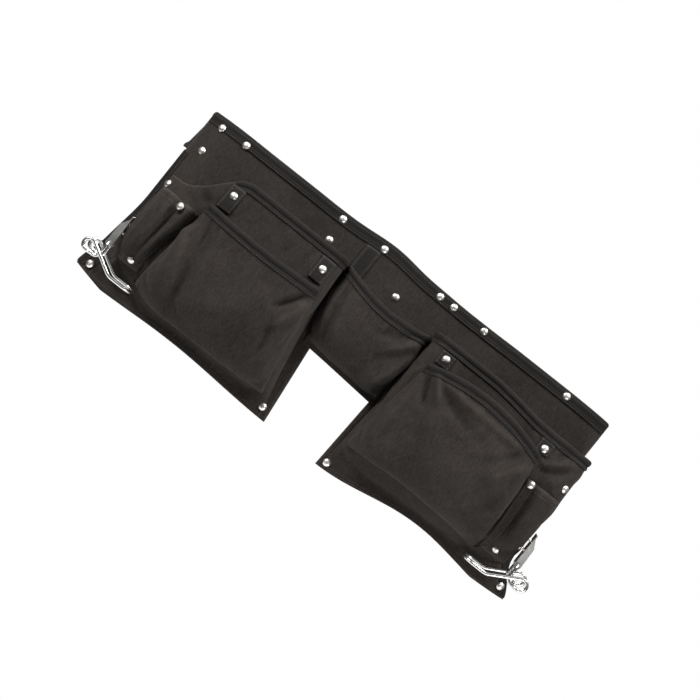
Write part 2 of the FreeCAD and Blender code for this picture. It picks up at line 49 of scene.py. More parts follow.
# The pouch's shape, as its solids have it
TOP_Z = 26.0
PANEL_T = 2.4
SHEET_T = 1.6
LAYER_GAP = 0.3
FOOT_T = 0.6
TUNNEL_GAP = 8.0
TUNNEL_DROP = 54.0
TUNNEL_PAST = 13.0
FLAT_HALF = 214.0
WRAP_LENGTH = 73.0
WRAP_TOP_DEG = 45.0
WRAP_HEM_DEG = 14.0
WRAP_EASE = (120.0, 225.0)
FLARE = (8.0, 20.0)
FLARE_EASE = (185.0, 230.0)
CENTRE_BOTTOM = (142.0, 148.0)
LEFT_LEG = (-22.5, -33.5)
RIGHT_LEG = (49.5, 53.5)
LEFT_HEM = (234.0, 2.5)
RIGHT_HEM = (228.3, 8.5)
HEM_WAVE_LENGTH = 265.0
CORNER_RISE = (250.0, 0.24)
BUCKET_DEPTH = 42.0
LEFT_SEAM = -252.5
RIGHT_SEAM = 268.5
SEAM_FLARE = 24.0
FRONT_Y = -(TUNNEL_GAP / 2 + PANEL_T)
EDGE_ACROSS = FLAT_HALF + WRAP_LENGTH
SLOT_SLACK = 8.5
SLOT_DROPS = (104.0, 193.0)

# Webbing: the tabs' width, and the sides and drops of the strip behind the centre pocket
TAB_WIDTH = 17.0
STRIP_SIDES = (-55.0, -37.0)
STRIP_DROPS = (13.5, 60.0)

# The poles over a pocket's front, and the share of its width that they start in from each seam
FRONT_POLES = 7
FRONT_INSET = 0.16

# The pockets' cloth: its unevenness, and the share by which it is cut larger than its seams
RUMPLE_SIZE = 42.0
RUMPLE_HEIGHT = 2.2
EXTRA_CLOTH = 0.02

# How free the cloth is: the share at a mouth, and where the hold of a rivet ends and then fades out
MOUTH_FREEDOM = 0.25
RIVET_HOLD = 6.0
RIVET_FADE = 16.0

# The grid of points and the frames in which the cloth settles
SETTLE_ROWS = 44
SETTLE_COLS = 80
SETTLE_FRAMES = 24

# Tapes over the mouths: the shares of a mouth's width where they start and end, and their stitches' drop
TAPE_SHARES = (0.015, 0.985)
LEFT_MAIN_TAPE_START = 0.4
MOUTH_SECTIONS = 121
MOUTH_STITCH_DROP = 9.6

# Stitches; a pocket's hem is sewn along the last row but two of its cloth
HEM_ROW = -3
STITCH_PITCH = 3.4
STITCH_LENGTH = 2.5
THREAD_R = 0.33


# Numbers and curves

def ease(value):
    value = np.clip(value, 0.0, 1.0)
    return value * value * (3 - 2 * value)


def mix(a, b, share):
    return a + (b - a) * share


def step(x, start, end, low, high):
    return mix(low, high, ease((x - start) / (end - start)))


def bend(top, middle, bottom):
    return lambda share: (top * (1 - share) * (1 - 2 * share) + middle * 4 * share * (1 - share)
                          + bottom * share * (2 * share - 1))


def unit(vectors):
    return vectors / np.maximum(np.linalg.norm(vectors, axis=-1, keepdims=True), 1e-9)


def lengths_along(line):
    """Distance from the start to each point of a line."""
    return np.concatenate([[0.0], np.cumsum(np.linalg.norm(np.diff(line, axis=0), axis=1))])


def interp(where, knots, values):
    """Linear interpolation of points."""
    return np.stack([np.interp(where, knots, values[:, i]) for i in range(values.shape[1])], axis=-1)


def evened(line, count):
    """A line's points moved to equal distances."""
    run = lengths_along(line)
    return interp(np.linspace(0, run[-1], count), run, line)


def basis(count, samples):
    """Clamped cubic B-spline weights, one row for each evenly spaced sample."""
    degree = 3
    spans = count - degree
    knots = np.concatenate([np.zeros(degree), np.arange(spans + 1), np.full(degree, spans)])
    t = np.linspace(0, spans - 1e-9, samples)
    weights = [((knots[i] <= t) & (t < knots[i + 1])).astype(float) for i in range(len(knots) - 1)]
    for k in range(1, degree + 1):
        raised = []
        for i in range(len(knots) - 1 - k):
            rise, fall = knots[i + k] - knots[i], knots[i + k + 1] - knots[i + 1]
            value = np.zeros(samples)
            if rise > 0:
                value += (t - knots[i]) / rise * weights[i]
            if fall > 0:
                value += (knots[i + k + 1] - t) / fall * weights[i + 1]
            raised.append(value)
        weights = raised
    return np.array(weights).T


# The curved panel

def wrap_angle(drop):
    share = ease((drop - WRAP_EASE[0]) / (WRAP_EASE[1] - WRAP_EASE[0]))
    return np.radians(mix(WRAP_TOP_DEG, WRAP_HEM_DEG, share))


def top_wave(across):
    """Height of the soft top edge against a straight line: it sags either side of the middle."""
    peak = 4.7 * np.exp(-((across + 28.0) / 38.0) ** 2)
    sag = 1.4 * np.exp(-((across - 90.0) / 60.0) ** 2)
    return peak - sag - 2.6


def on_panel(across, drop, forward):
    """Point at a distance across the panel, a drop below its top edge and forward of its face."""
    radius = WRAP_LENGTH / wrap_angle(drop)
    angle = np.maximum(0.0, np.abs(across) - FLAT_HALF) / radius
    x = np.minimum(np.abs(across), FLAT_HALF) + (radius + forward) * np.sin(angle)
    y = FRONT_Y + radius - (radius + forward) * np.cos(angle)
    z = TOP_Z - drop + top_wave(across) * (1.0 - ease(drop / 60.0))
    return np.stack(np.broadcast_arrays(np.copysign(x, across), y, z), axis=-1)


def edge_across(drop, side):
    share = ease((drop - FLARE_EASE[0]) / (FLARE_EASE[1] - FLARE_EASE[0]))
    return EDGE_ACROSS + FLARE[int(side > 0)] * share


def panel_y(x, drop):
    """Y of the panel's face at x; past its edge, the edge's own Y."""
    radius = WRAP_LENGTH / wrap_angle(drop)
    sine = max(0.0, abs(x) - FLAT_HALF) / radius
    edge_angle = (edge_across(drop, x) - FLAT_HALF) / radius
    angle = math.asin(min(sine, math.sin(edge_angle)))
    return FRONT_Y + radius * (1 - math.cos(angle))


def across_for(x, drop):
    """Distance across the panel at which its face reaches x."""
    radius = WRAP_LENGTH / wrap_angle(drop)
    past = max(0.0, abs(x) - FLAT_HALF) / radius
    return math.copysign(min(abs(x), FLAT_HALF) + radius * math.asin(min(1.0, past)), x)


def hem_drop(x):
    inner, (mean, wave) = (LEFT_LEG[0], LEFT_HEM) if x < 0 else (RIGHT_LEG[0], RIGHT_HEM)
    rise = CORNER_RISE[1] * max(0.0, abs(x) - CORNER_RISE[0])
    return mean + wave * math.cos(2 * math.pi * (abs(x) - abs(inner)) / HEM_WAVE_LENGTH) - rise


# Cloth on a grid

class Cloth:
    """A sheet's outer face as a grid of points, its first row along the mouth or top edge."""

    def __init__(self, points):
        self.points = points
        down, across = np.gradient(points, axis=0), np.gradient(points, axis=1)
        self.normals = unit(np.cross(down, across))
        self.drops = TOP_Z - points[..., 2]

    def column(self, share):
        """Points and normals down the sheet at a share of its width."""
        place = np.clip(share, 0, 1) * (self.points.shape[1] - 1)
        low = min(int(place), self.points.shape[1] - 2)
        part = place - low
        return (mix(self.points[:, low], self.points[:, low + 1], part),
                unit(mix(self.normals[:, low], self.normals[:, low + 1], part)))

    def below_mouth(self, share, distances):
        """Points and normals at distances down from the mouth; negative ones stand above it."""
        points, normals = self.column(share)
        run = lengths_along(points)
        found = interp(distances, run, points)
        up = unit(points[0] - points[2])
        found += np.maximum(0.0, -np.asarray(distances))[:, None] * up
        return found, unit(interp(distances, run, normals))

    def at_drop(self, share, drop):
        points, normals = self.column(share)
        drops = TOP_Z - points[:, 2]
        return interp([drop], drops, points)[0], unit(interp([drop], drops, normals)[0])

    def share_at(self, x, drop):
        """Share of the width at which the sheet's front passes x."""
        shares = np.linspace(0.0, 1.0, 161)
        row = np.array([self.at_drop(share, drop)[0] for share in shares])
        crossing = np.nonzero((row[:-1, 0] - x) * (row[1:, 0] - x) <= 0)[0]
        best = min(crossing, key=lambda i: row[i, 1])
        part = (x - row[best, 0]) / (row[best + 1, 0] - row[best, 0])
        return mix(shares[best], shares[best + 1], part)

    def at_x(self, x, drop):
        return self.at_drop(self.share_at(x, drop), drop)


def spread(poles, rows, cols):
    """A smooth surface's points over a grid of poles."""
    return np.einsum("ri,ijk,cj->rck", basis(poles.shape[0], rows), poles, basis(poles.shape[1], cols))


def cloth_from_poles(poles, rows, cols):
    """Cloth over a smooth surface, its points spread evenly each way."""
    grid = spread(poles, rows, cols)
    grid = np.array([evened(row, cols) for row in grid])
    columns = [evened(grid[:, j], rows) for j in range(cols)]
    return Cloth(np.stack(columns, axis=1))


# Pockets: the same surfaces as their solids

# Poles up a pocket's side, from its seam to the front: how far in from the seam, and the share of the depth
SOFT_SIDE = ((0.0, 0.0), (0.5, 0.4), (3.0, 0.8), (14.0, 0.98))
FLANK_SIDE = ((0.0, 0.0), (-8.0, 0.1), (-13.0, 0.3), (-14.0, 0.6), (-13.5, 0.84), (-7.0, 0.97), (10.0, 1.0))

# Rows down a pocket: the share of its height, and the share of its depth there
BULGE_SHARE = 0.9
BULGE = ((0.0, 0.84), (0.12, 0.9), (0.3, 1.0), (0.55, 1.0), (0.76, 0.92), (0.92, 0.55), (1.0, 0.12))
SAGGING = ((0.0, 0.84), (0.12, 0.9), (0.3, 1.0), (0.55, 1.02), (0.76, 0.98), (0.92, 0.72), (1.01, 0.42),
           (1.025, 0.16), (1.0, 0.03))


def side_plan(side, full):
    """A side's poles at one row; where the pocket has no depth they stand 2 mm apart beside the seam."""
    return [(mix(2.0 * i, inward, ease(full * 1.6)), part) for i, (inward, part) in enumerate(side)]


def pocket(seams, sides, depth, mouth, end, base, hem=None, flat_front=True, bulge=BULGE):
    """Poles of a pocket's outer face, row by row from its mouth to its bottom seam or hem."""
    left_side, right_side = sides
    rows = [(share, None, full) for share, full in bulge]
    if hem:
        rows += [(1.0, 0.35, 0.0), (1.0, 1.0, 0.0)]
    poles = []
    for share, below, full in rows:
        left_x, right_x = seams(share * BULGE_SHARE if below is None else mix(BULGE_SHARE, 1.0, below))
        width = right_x - left_x
        plan = [(left_x + inward, part) for inward, part in side_plan(left_side, full)]
        inset = FRONT_INSET * width
        plan += [(x, 1.0) for x in np.linspace(left_x + inset, right_x - inset, FRONT_POLES)]
        plan += [(right_x - inward, part) for inward, part in reversed(side_plan(right_side, full))]
        row = []
        for x, part in plan:
            drop = mix(mouth(x), end(x), share)
            if below is not None:
                drop = mix(drop, hem(x), below)
            base_y = base(x, drop)
            reach = depth * full + (base_y - FRONT_Y) * full * flat_front
            stand = max(part * max(reach, SHEET_T), FOOT_T)
            row.append((x, base_y - LAYER_GAP - stand, TOP_Z - drop))
        poles.append(row)
    return np.array(poles)


def seam_flare(share):
    return SEAM_FLARE * ease((share - 0.82) / 0.18)


def left_main_poles():
    inner = bend(-58.0, -50.0, -30.0)
    return pocket(
        seams=lambda share: (LEFT_SEAM - seam_flare(share), inner(share)), sides=(FLANK_SIDE, SOFT_SIDE),
        depth=BUCKET_DEPTH, base=panel_y, hem=lambda x: hem_drop(x) - 0.5,
        mouth=lambda x: step(x, -232.0, -208.0, 87.0, 42.0),
        end=lambda x: step(x, -250.0, -205.0, 197.0, 214.0))


def right_main_poles():
    inner = bend(66.0, 62.0, 55.0)
    return pocket(
        seams=lambda share: (inner(share), RIGHT_SEAM + seam_flare(share)), sides=(SOFT_SIDE, FLANK_SIDE),
        depth=BUCKET_DEPTH, base=panel_y, hem=lambda x: hem_drop(x) - 0.5,
        mouth=lambda x: 41.0 + 8.0 * ease((x - 150.0) / 70.0),
        end=lambda x: step(x, 205.0, 250.0, 206.0, 197.0))


def centre_poles():
    left, right = bend(-55.0, -50.0, -44.0), bend(62.0, 60.0, 58.0)

    def mouth(x):
        return mix(44.0, 51.0, (x + 55.0) / 117.0) + 9.0 * math.cos(math.pi * (x - 4.0) / 120.0)

    def bottom(x):
        return mix(*CENTRE_BOTTOM, (x + 48.0) / 108.0)

    return pocket(
        seams=lambda share: (left(share), right(share)), sides=(SOFT_SIDE, SOFT_SIDE),
        depth=30.0, base=panel_y, mouth=mouth, end=lambda x: bottom(x) - 7.0,
        hem=lambda x: bottom(x) - 0.5)


def left_front_poles(main):
    left, right = bend(-211.0, -219.0, -228.0), bend(-63.0, -54.0, -40.0)
    return pocket(
        seams=lambda share: (left(share), right(share)), sides=(SOFT_SIDE, SOFT_SIDE),
        depth=26.0, base=lambda x, drop: main.at_x(x, drop)[0][1], flat_front=False, bulge=SAGGING,
        mouth=lambda x: 87.0 + 3.0 * math.cos(math.pi * (x + 137.0) / 150.0),
        end=lambda x: 213.0 - 2.0 * (x + 135.0) / 100.0 - 10.0 * ease((-202.0 - x) / 18.0))


def right_front_poles(main):
    left, right = bend(78.0, 68.0, 60.0), bend(231.0, 238.0, 241.0)
    return pocket(
        seams=lambda share: (left(share), right(share)), sides=(SOFT_SIDE, SOFT_SIDE),
        depth=26.0, base=lambda x, drop: main.at_x(x, drop)[0][1], flat_front=False, bulge=SAGGING,
        mouth=lambda x: 63.0 + 15.0 * ((x - 150.0) / 80.0) ** 2,
        end=lambda x: 192.0 + 6.0 * ((x - 140.0) / 90.0) ** 2)


# Folds

def creases(cloth, lines):
    """Push a cloth out or in along soft lines, each (x, drop) to (x, drop) with a height and a width."""
    x, drop = cloth.points[..., 0], cloth.drops
    push = np.zeros(x.shape)
    for (x0, drop0), (x1, drop1), height, width in lines:
        span = np.array([x1 - x0, drop1 - drop0])
        length = np.linalg.norm(span)
        along = ((x - x0) * span[0] + (drop - drop0) * span[1]) / length ** 2
        aside = ((x - x0) * span[1] - (drop - drop0) * span[0]) / length
        fade = ease(along / 0.3 + 0.35) * ease((1.0 - along) / 0.4 + 0.3)
        push += height * fade * np.exp(-(aside / width) ** 2)
    return push


def rumple(cloth, size, height, seed):
    """Gentle unevenness, the same on every run."""
    push = np.zeros(cloth.points.shape[:2])
    for index in np.ndindex(push.shape):
        place = Vector(cloth.points[index]) / size + Vector((seed, seed * 0.7, 0))
        push[index] = noise.fractal(place, 1.0, 2.0, 2)
    return push * height


def pinned(cloth, mouth_mm, edge_mm):
    """Share by which each point is free: none at the sewn sides and bottom, all well away from them."""
    rows, cols = cloth.points.shape[:2]
    middle = cloth.points[rows // 2]
    across = lengths_along(middle)
    down = lengths_along(cloth.points[:, cols // 2])
    free = ease(np.minimum(across, across[-1] - across) / edge_mm)[None, :]
    free = free * ease((down[-1] - down) / edge_mm)[:, None]
    if mouth_mm:
        free = free * mix(MOUTH_FREEDOM, 1.0, ease(down / mouth_mm))[:, None]
    return free


def rivet_places(*nodes):
    """The middle of each rivet, from its solid."""
    places = []
    for node in nodes:
        points = np.array([vertex.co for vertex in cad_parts[node].data.vertices]) / MM
        while len(points):
            near = np.linalg.norm(points - points[0], axis=1) < 15.0
            places.append(points[near].mean(axis=0))
            points = points[~near]
    return places


def clear_of(cloth, places):
    """Share by which each point is free of the rivets that hold the cloth."""
    free = np.ones(cloth.points.shape[:2])
    for place in places:
        away = np.linalg.norm(cloth.points - place, axis=-1)
        free = free * ease((away - RIVET_HOLD) / RIVET_FADE)
    return free


def pushed(cloth, amounts):
    return Cloth(cloth.points + cloth.normals * amounts[..., None])


def resampled(grid, rows, cols):
    """The same sheet with fewer points, evenly spread."""
    down = interp(np.linspace(0, 1, rows), np.linspace(0, 1, len(grid)), grid.reshape(len(grid), -1))
    down = down.reshape(rows, grid.shape[1], -1).transpose(1, 0, 2)
    across = interp(np.linspace(0, 1, cols), np.linspace(0, 1, len(down)), down.reshape(len(down), -1))
    return across.reshape(cols, rows, -1).transpose(1, 0, 2)


def settled(cloth, free, cap):
    """Let a sheet cut a little larger than its seams settle as cloth; no point moves more than the cap."""
    start = resampled(cloth.points, SETTLE_ROWS, SETTLE_COLS)
    pins = 1.0 - resampled(free[..., None], SETTLE_ROWS, SETTLE_COLS).reshape(-1)
    obj = grid_object("settling", start)
    group = obj.vertex_groups.new(name="sewn")
    for index, pin in enumerate(pins):
        group.add([index], float(pin), "REPLACE")
    modifier = obj.modifiers.new("Cloth", "CLOTH")
    settings = modifier.settings
    settings.quality = 5
    settings.mass = 0.2
    settings.tension_stiffness = settings.compression_stiffness = 15.0
    settings.shear_stiffness = 5.0
    settings.bending_stiffness = 0.6
    settings.shrink_min = -EXTRA_CLOTH
    settings.use_pressure = True
    settings.uniform_pressure_force = 0.4
    settings.vertex_group_mass = "sewn"
    settings.pin_stiffness = 2.0
    settings.effector_weights.gravity = 0.5
    modifier.collision_settings.use_collision = False
    modifier.point_cache.frame_end = SETTLE_FRAMES
    for number in range(1, SETTLE_FRAMES + 1):
        bpy.context.scene.frame_set(number)
    mesh = obj.evaluated_get(bpy.context.evaluated_depsgraph_get()).data
    moved = np.array([vertex.co for vertex in mesh.vertices]).reshape(start.shape) / MM - start
    bpy.context.scene.frame_set(1)
    bpy.data.objects.remove(obj)
    size = np.linalg.norm(moved, axis=-1, keepdims=True)
    moved *= np.tanh(size / cap) * cap / np.maximum(size, 1e-6)
    return Cloth(cloth.points + spread(moved, *cloth.points.shape[:2]) * free[..., None])


# Meshes

def finish_object(name, mesh, material):
    obj = bpy.data.objects.new(name, mesh)
    bpy.context.scene.collection.objects.link(obj)
    if material:
        mesh.materials.append(material)
    for polygon in mesh.polygons:
        polygon.use_smooth = True
    return obj


def grid_object(name, grid, material=None, loop=False, capped=False):
    """Mesh over a grid of points, with the cloth's own length and width as its UV map.

    A looped grid closes across; a capped one also closes its two ends.
    """
    rows, cols = grid.shape[:2]
    faces = []
    for i in range(rows - 1):
        for j in range(cols if loop else cols - 1):
            k = (j + 1) % cols
            faces.append((i * cols + j, (i + 1) * cols + j, (i + 1) * cols + k, i * cols + k))
    if capped:
        faces.append(tuple(range(cols)))
        faces.append(tuple((rows - 1) * cols + j for j in range(cols))[::-1])
    mesh = bpy.data.meshes.new(name)
    mesh.from_pydata((grid.reshape(-1, 3) * MM).tolist(), [], faces)
    if capped:
        face_outward(mesh)
    down = lengths_along(grid[:, cols // 2]) * MM
    across = lengths_along(grid[rows // 2]) * MM
    layer = mesh.uv_layers.new(name="cloth")
    for polygon in mesh.polygons:
        for corner in polygon.loop_indices:
            index = mesh.loops[corner].vertex_index
            layer.data[corner].uv = (across[index % cols], down[index // cols])
    return finish_object(name, mesh, material)


def face_outward(mesh):
    """Turn a closed mesh's faces to point out."""
    build = bmesh.new()
    build.from_mesh(mesh)
    bmesh.ops.recalc_face_normals(build, faces=build.faces)
    build.to_mesh(mesh)
    build.free()


def thicken(obj, thickness, inward=True):
    modifier = obj.modifiers.new("Thickness", "SOLIDIFY")
    modifier.thickness = thickness * MM
    modifier.offset = -1.0 if inward else 1.0
    modifier.use_even_offset = True


def soften(obj):
    modifier = obj.modifiers.new("Smooth", "SUBSURF")
    modifier.levels = modifier.render_levels = 1
    return obj


def attach(obj, *nodes, slot="pouch_fabric"):
    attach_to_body(obj, "pouch")
    if nodes:
        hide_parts(*nodes)


def declare(obj, *grids, held, rests_on):
    """Work out the size a piece was cut to, its rows and columns laid out flat: width, length and area."""
    width = length = area = 0.0
    for grid in grids:
        down, across = np.diff(grid, axis=0) * MM, np.diff(grid, axis=1) * MM
        width += np.linalg.norm(across, axis=-1).sum(axis=1).max()
        length = max(length, np.linalg.norm(down, axis=-1).sum(axis=0).max())
        area += np.linalg.norm(np.cross(down[:, :-1], across[:-1]), axis=-1).sum()


# Stitches

class Thread:
    """Collects stitches and makes them one mesh."""

    SIDES = 5
    # Rings along a stitch: the share of its length, the share of its thickness, and the lift off the cloth
    RINGS = ((0.0, 0.35, -0.25), (0.2, 0.9, 0.08), (0.5, 1.0, 0.2), (0.8, 0.9, 0.08), (1.0, 0.35, -0.25))

    def __init__(self):
        self.points, self.faces = [], []

    def sew(self, line, normals):
        """A row of stitches along a line of points that lie on the cloth."""
        run = lengths_along(line)
        count = int(run[-1] / STITCH_PITCH)
        for i in range(count):
            start = (i + 0.5) * run[-1] / count - STITCH_LENGTH / 2
            ends = interp([start, start + STITCH_LENGTH], run, line)
            normal = unit(interp([start + STITCH_LENGTH / 2], run, normals)[0])
            self.add(ends[0], ends[1], normal)

    def add(self, start, end, normal):
        """One stitch: a short round thread that dips into the cloth at each end."""
        along = unit(end - start)
        side = unit(np.cross(along, normal))
        first = len(self.points)
        for share, size, lift in self.RINGS:
            middle = mix(start, end, share) + normal * lift
            for k in range(self.SIDES):
                angle = 2 * math.pi * k / self.SIDES
                spoke = math.cos(angle) * side + math.sin(angle) * normal
                self.points.append(middle + THREAD_R * size * spoke)
        last = first + (len(self.RINGS) - 1) * self.SIDES
        for ring in range(first, last, self.SIDES):
            for k in range(self.SIDES):
                a, b = ring + k, ring + (k + 1) % self.SIDES
                self.faces.append((a, b, b + self.SIDES, a + self.SIDES))
        self.faces.append(tuple(range(first, first + self.SIDES))[::-1])
        self.faces.append(tuple(range(last, last + self.SIDES)))

    def make(self, name, material):
        mesh = bpy.data.meshes.new(name)
        mesh.from_pydata((np.array(self.points) * MM).tolist(), [], self.faces)
        return finish_object(name, mesh, material)


# Materials

class Nodes:
    """Short names for building a material's nodes."""

    def __init__(self, name):
        self.material = bpy.data.materials.new(name)
        self.material.use_nodes = True
        self.tree = self.material.node_tree
        self.shader = self.tree.nodes["Principled BSDF"]

    def add(self, kind, **values):
        node = self.tree.nodes.new(kind)
        for key, value in values.items():
            if key in node.inputs:
                node.inputs[key].default_value = value
            else:
                setattr(node, key, value)
        return node

    def link(self, source, target):
        self.tree.links.new(source, target)

    def uv(self):
        return self.add("ShaderNodeTexCoord").outputs["UV"]

    def place(self):
        return self.add("ShaderNodeTexCoord").outputs["Object"]

    def noise(self, where, scale, detail=3.0, roughness=0.5):
        node = self.add("ShaderNodeTexNoise", Scale=scale, Detail=detail, Roughness=roughness)
        self.link(where, node.inputs["Vector"])
        return node.outputs["Fac"]

    def math(self, operation, a, b):
        node = self.add("ShaderNodeMath", operation=operation)
        for socket, value in zip(node.inputs, (a, b)):
            if isinstance(value, (int, float)):
                socket.default_value = value
            else:
                self.link(value, socket)
        return node.outputs[0]

    def ramp(self, value, stops):
        node = self.add("ShaderNodeValToRGB")
        elements = node.color_ramp.elements
        while len(elements) < len(stops):
            elements.new(0.5)
        for element, (position, color) in zip(elements, stops):
            element.position = position
            element.color = (*color, 1.0)
        self.link(value, node.inputs["Fac"])
        return node.outputs["Color"]

    def bump(self, height, distance, strength, below=None):
        node = self.add("ShaderNodeBump", Distance=distance, Strength=strength)
        self.link(height, node.inputs["Height"])
        if below:
            self.link(below, node.inputs["Normal"])
        return node.outputs["Normal"]


def scaled(color, share):
    return tuple(channel * share for channel in color)


BAND_SPACING = 0.314  # of a wave texture whose scale is one


def weave_height(nodes, period):
    """Height of a plain weave with the given thread spacing, in metres, over the cloth's UV map."""
    uv = nodes.uv()
    waves = []
    for direction in ("X", "Y"):
        wave = nodes.add("ShaderNodeTexWave", wave_type="BANDS", bands_direction=direction,
                         Scale=BAND_SPACING / period, Distortion=0.6)
        wave.inputs["Detail Scale"].default_value = 1.5
        nodes.link(uv, wave.inputs["Vector"])
        waves.append(wave.outputs["Fac"])
    checker = nodes.add("ShaderNodeTexChecker", Scale=1.0 / period)
    nodes.link(uv, checker.inputs["Vector"])
    over = nodes.math("MULTIPLY", waves[0], checker.outputs["Fac"])
    under = nodes.math("MULTIPLY", waves[1], nodes.math("SUBTRACT", 1.0, checker.outputs["Fac"]))
    return nodes.math("ADD", over, under)


def cloth_material(name, dark, light, period=0.0010, roughness=0.9, sheen=0.06, nap=0.6, edge_wear_and_shade=0.5):
    """Woven cloth: threads and slubs, a short nap, paler patches of wear, and paler edges and ridges that
    are partly wear and partly painted highlight, with painted shade in creases.
    """
    nodes = Nodes(name)
    place = nodes.place()
    weave = weave_height(nodes, period)
    patches = nodes.noise(place, 14.0, 5.0, 0.6)
    fibres = nodes.noise(place, 520.0, 3.0, 0.7)
    stretch = nodes.add("ShaderNodeMapping")
    stretch.inputs["Scale"].default_value = (900.0, 110.0, 1.0)
    nodes.link(nodes.uv(), stretch.inputs["Vector"])
    slubs = nodes.noise(stretch.outputs["Vector"], 1.0, 2.0, 0.5)
    tone = nodes.math("MULTIPLY", patches, 0.35)
    for layer, weight in ((fibres, 0.77 * nap), (slubs, 0.6 * nap), (weave, 0.14)):
        tone = nodes.math("ADD", tone, nodes.math("MULTIPLY", layer, weight))
    # Pointiness tone: ridges and edges paler, partly wear and partly a painted highlight; creases and
    # grooves darker, a painted shade.
    edge = nodes.add("ShaderNodeNewGeometry").outputs["Pointiness"]
    edge_wear_highlight_and_shade = nodes.math("MULTIPLY", nodes.math("SUBTRACT", edge, 0.5), edge_wear_and_shade * 3.4)
    tone = nodes.math("ADD", tone, edge_wear_highlight_and_shade)
    nodes.link(nodes.ramp(tone, ((0.5, dark), (0.88, light))), nodes.shader.inputs["Base Color"])
    rough = nodes.math("MULTIPLY_ADD", fibres, 0.12)
    rough.node.inputs[2].default_value = roughness - 0.06
    nodes.link(rough, nodes.shader.inputs["Roughness"])
    nodes.shader.inputs["Sheen Weight"].default_value = sheen
    nodes.shader.inputs["Sheen Roughness"].default_value = 0.4
    nodes.shader.inputs["Sheen Tint"].default_value = (0.9, 0.82, 0.75, 1.0)
    nodes.shader.inputs["Specular IOR Level"].default_value = 0.18
    soft = nodes.bump(nodes.noise(place, 110.0, 3.0, 0.6), 0.0008, 0.5)
    fuzz = nodes.bump(fibres, 0.0003, 0.6, soft)
    nodes.link(nodes.bump(weave, 0.00022, 0.8, fuzz), nodes.shader.inputs["Normal"])
    return nodes.material


def tape_material(name, dark, light):
    """Ribbed binding tape, a little smoother than the cloth."""
    # Its stronger pointiness tone paints more highlight on the tape's folds and more shade in its grooves,
    # besides wear.
    return cloth_material(name, dark, light, period=0.0013, roughness=0.72, sheen=0.04, nap=0.4, edge_wear_and_shade=1.2)


def thread_material(name, color):
    nodes = Nodes(name)
    place = nodes.place()
    strands = nodes.noise(place, 1800.0, 1.0)
    nodes.link(nodes.ramp(strands, ((0.3, scaled(color, 0.6)), (0.7, color))),
               nodes.shader.inputs["Base Color"])
    nodes.shader.inputs["Roughness"].default_value = 0.6
    nodes.link(nodes.bump(strands, 0.0001, 0.4), nodes.shader.inputs["Normal"])
    return nodes.material


def metal_material(name, color, roughness, scratches):
    """Plated metal with fine scratches, smudges and a faintly uneven surface."""
    nodes = Nodes(name)
    place = nodes.place()
    smudge = nodes.noise(place, 55.0, 4.0, 0.6)
    fine = nodes.noise(place, 1400.0, 2.0, 0.7)
    nodes.link(nodes.ramp(smudge, ((0.3, scaled(color, 0.86)), (0.7, color))),
               nodes.shader.inputs["Base Color"])
    rough = nodes.math("MULTIPLY_ADD", smudge, 0.16)
    rough.node.inputs[2].default_value = roughness - 0.06
    nodes.link(rough, nodes.shader.inputs["Roughness"])
    nodes.shader.inputs["Metallic"].default_value = 1.0
    nodes.link(nodes.bump(fine, 0.00004, scratches), nodes.shader.inputs["Normal"])
    return nodes.material


CLOTH = cloth_material("pouch_cloth", (0.0105, 0.0087, 0.0076), (0.046, 0.0385, 0.0335))
TUNNEL_CLOTH = cloth_material("tunnel_cloth", (0.010, 0.0088, 0.008), (0.03, 0.0265, 0.0245), period=0.0015)
TAPE = tape_material("binding_tape", (0.0062, 0.0051, 0.0045), (0.027, 0.0225, 0.0195))
WEBBING = tape_material("tab_webbing", (0.0085, 0.0074, 0.0067), (0.03, 0.0262, 0.024))
THREAD = thread_material("sewing_thread", (0.052, 0.046, 0.042))
NICKEL = metal_material("nickel_rivets", (0.92, 0.89, 0.85), 0.38, 0.2)
CHROME = metal_material("chrome_wire", (0.78, 0.78, 0.77), 0.24, 0.04)
STEEL = metal_material("plated_hanger", (0.78, 0.77, 0.75), 0.36, 0.25)

thread = Thread()


# Tapes

# Round the tape over a pocket's mouth: the distance below the mouth, and out from the cloth
MOUTH_PROFILE = (
    (11.0, 0.1), (11.1, 0.8), (10.0, 1.35), (8.6, 1.45), (7.2, 1.2), (6.1, 0.4), (5.0, 1.5), (3.0, 2.3),
    (0.8, 2.3), (-0.9, 1.4), (-1.5, -0.5), (-1.0, -2.4), (0.8, -3.1), (4.0, -3.1), (9.0, -2.9),
    (11.0, -2.6), (11.0, -1.8), (4.0, -1.75), (0.2, -1.7), (-0.1, -0.8), (0.2, -0.05), (4.0, 0.1))


def mouth_tape(name, cloth, shares, node):
    """Tape folded over a pocket's mouth, drawn in along its stitch line."""
    distances = np.array([d for d, _ in MOUTH_PROFILE])
    stands = np.array([stand for _, stand in MOUTH_PROFILE])
    rows, line, normals = [], [], []
    for i, share in enumerate(np.linspace(*shares, MOUTH_SECTIONS)):
        points, outward = cloth.below_mouth(share, distances)
        waver = 0.35 * noise.noise(Vector((i * 0.11, 3.1, share * 9)))
        rows.append(points + outward * stands[:, None] + unit(points[0] - points[3]) * waver)
        sewn, sewn_out = cloth.below_mouth(share, np.array([MOUTH_STITCH_DROP]))
        line.append(sewn[0] + sewn_out[0] * 1.3)
        normals.append(sewn_out[0])
    thread.sew(np.array(line), np.array(normals))
    obj = soften(grid_object(name, np.array(rows), TAPE, loop=True, capped=True))
    declare_tape(np.array(rows))
    attach(obj, node, slot="binding_tape")


def declare_tape(rows):
    """A folded tape's cut: half the way round its section, by its length."""
    half = lengths_along(rows[len(rows) // 2])[-1] / 2
    fold = rows[:, len(rows[0]) // 2]
    lengths_along(fold)[-1] * MM


